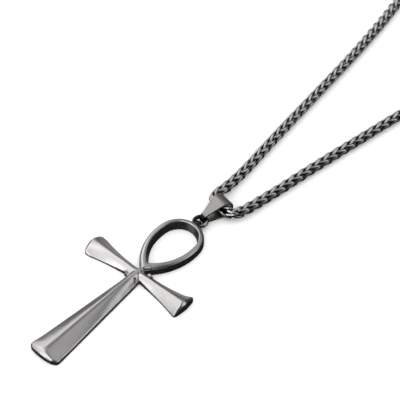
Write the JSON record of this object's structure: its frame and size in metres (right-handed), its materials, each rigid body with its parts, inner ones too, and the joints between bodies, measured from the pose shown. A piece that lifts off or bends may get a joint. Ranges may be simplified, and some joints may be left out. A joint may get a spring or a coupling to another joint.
{
  "type": "ankh pendant necklace",
  "caption": "Cast steel ankh pendant with a teardrop loop, domed flared arms and a ridged shaft, lying on its back with its folded bail on a closed wheat chain.",
  "frame": {"origin": "on the flat back of the ankh, where the middle line of the arms crosses the shaft", "axes": "+X along the right arm, +Y up the shaft to the loop, the bail and the chain, +Z from the surface it lies on to the front of the ankh"},
  "size_m": [0.0905, 0.3033, 0.0046],
  "materials": {
    "cast_steel": "cast stainless steel, tumbled and polished to a soft shine",
    "strip_steel": "rolled stainless strip with a fine brushed grain",
    "chain_steel": "bright drawn stainless wire, darker between the links",
    "clasp_steel": "turned stainless steel, polished"
  },
  "bodies": {
    "root": {"ankh": "cast_steel", "bail": "strip_steel", "chain_left": "chain_steel", "chain_right": "chain_steel", "clasp": "clasp_steel"}
  },
  "joints": []
}
